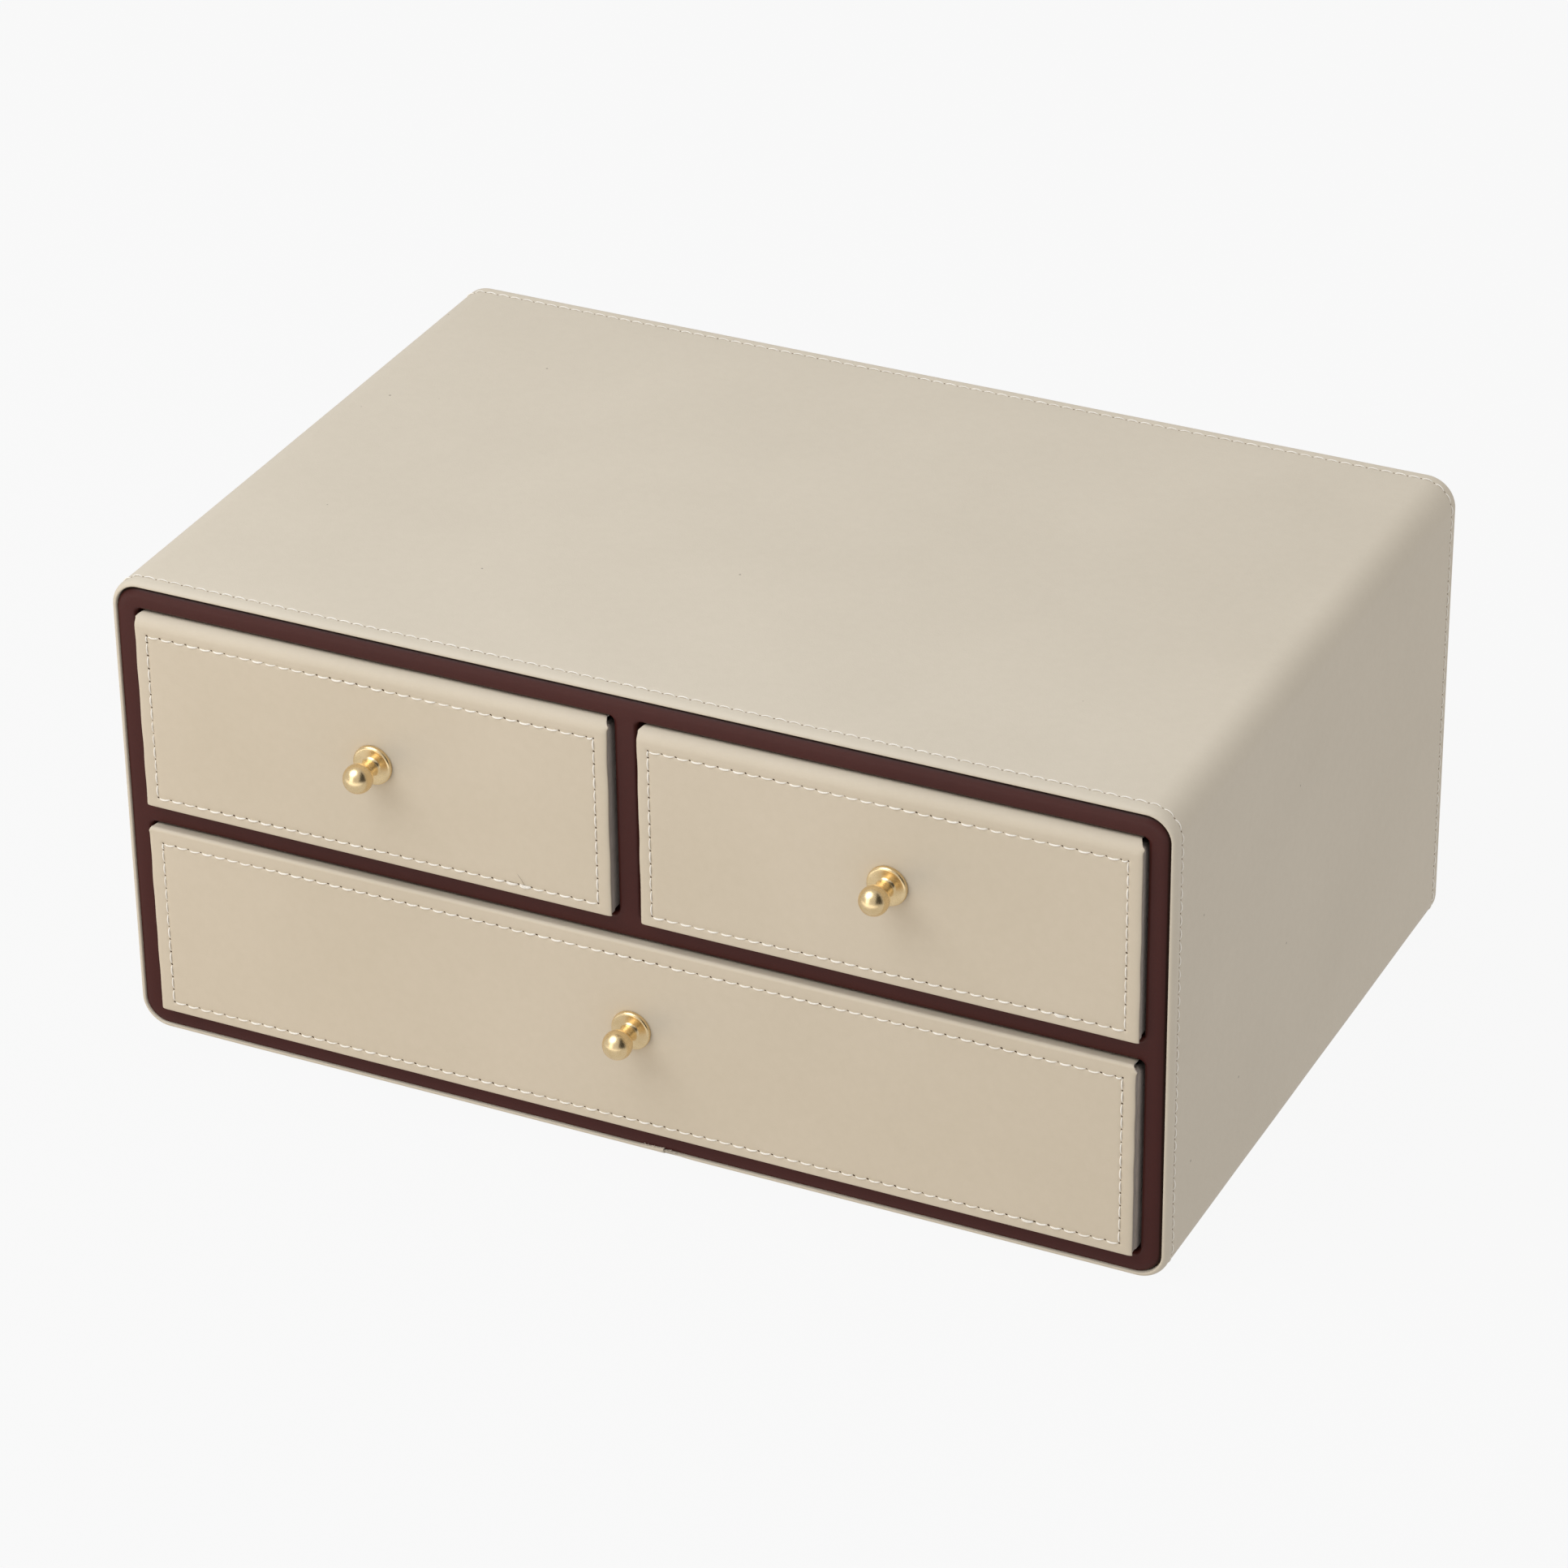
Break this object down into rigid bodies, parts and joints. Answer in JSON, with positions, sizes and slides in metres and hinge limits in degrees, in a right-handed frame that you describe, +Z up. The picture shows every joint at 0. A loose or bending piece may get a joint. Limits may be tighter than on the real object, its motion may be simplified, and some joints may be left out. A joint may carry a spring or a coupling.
{
  "type": "desktop drawer organizer",
  "caption": "Leather-wrapped desktop drawer case with small upper drawers beside each other above one wide drawer, each on a straight slide with a round knob.",
  "frame": {"origin": "centre of the case's flat base face, on the surface that it stands on", "axes": "+X to the right seen from the front, -Y the way the drawers open, +Z up"},
  "size_m": [0.33, 0.2321, 0.1505],
  "materials": {
    "beige_leather": "smooth fine-grained beige artificial leather, satin",
    "front_leather": "smooth beige artificial leather, satin, with off-white lockstitch",
    "burgundy_leather": "smooth dark burgundy artificial leather, satin",
    "grey_cloth": "fine taupe-grey cloth, matte",
    "grey_felt": "short-nap grey felt, matte",
    "board": "raw fibreboard",
    "card": "raw grey card",
    "brass": "satin, lacquered",
    "steel": "zinc plated"
  },
  "bodies": {
    "case": {"sleeve_leather": "beige_leather", "sleeve_card": "card", "carcass_top": "board", "carcass_bottom": "board", "carcass_left": "board", "carcass_right": "board", "shelf_board": "board", "divider_board": "board", "face_trim": "burgundy_leather", "left_bay_lining": "grey_cloth", "right_bay_lining": "grey_cloth", "wide_bay_lining": "grey_cloth", "back_board": "board", "back_leather": "beige_leather"},
    "left_drawer": {"left_drawer_facing": "front_leather", "left_drawer_front_board": "board", "left_drawer_left_side": "board", "left_drawer_right_side": "board", "left_drawer_back_wall": "board", "left_drawer_floor_board": "board", "left_drawer_cloth_wrap": "grey_cloth", "left_drawer_felt_pad": "grey_felt", "left_drawer_knob": "brass", "left_drawer_knob_plate": "brass", "left_drawer_knob_screw": "steel"},
    "right_drawer": {"right_drawer_facing": "front_leather", "right_drawer_front_board": "board", "right_drawer_left_side": "board", "right_drawer_right_side": "board", "right_drawer_back_wall": "board", "right_drawer_floor_board": "board", "right_drawer_cloth_wrap": "grey_cloth", "right_drawer_felt_pad": "grey_felt", "right_drawer_knob": "brass", "right_drawer_knob_plate": "brass", "right_drawer_knob_screw": "steel"},
    "wide_drawer": {"wide_drawer_facing": "front_leather", "wide_drawer_front_board": "board", "wide_drawer_left_side": "board", "wide_drawer_right_side": "board", "wide_drawer_back_wall": "board", "wide_drawer_floor_board": "board", "wide_drawer_cloth_wrap": "grey_cloth", "wide_drawer_felt_pad": "grey_felt", "wide_drawer_knob": "brass", "wide_drawer_knob_plate": "brass", "wide_drawer_knob_screw": "steel"}
  },
  "joints": [
    {"name": "left_drawer_slide", "type": "slide", "parent": "case", "child": "left_drawer", "axis": [0, -1, 0], "range_m": [0, 0.175]},
    {"name": "right_drawer_slide", "type": "slide", "parent": "case", "child": "right_drawer", "axis": [0, -1, 0], "range_m": [0, 0.175]},
    {"name": "wide_drawer_slide", "type": "slide", "parent": "case", "child": "wide_drawer", "axis": [0, -1, 0], "range_m": [0, 0.175]}
  ]
}
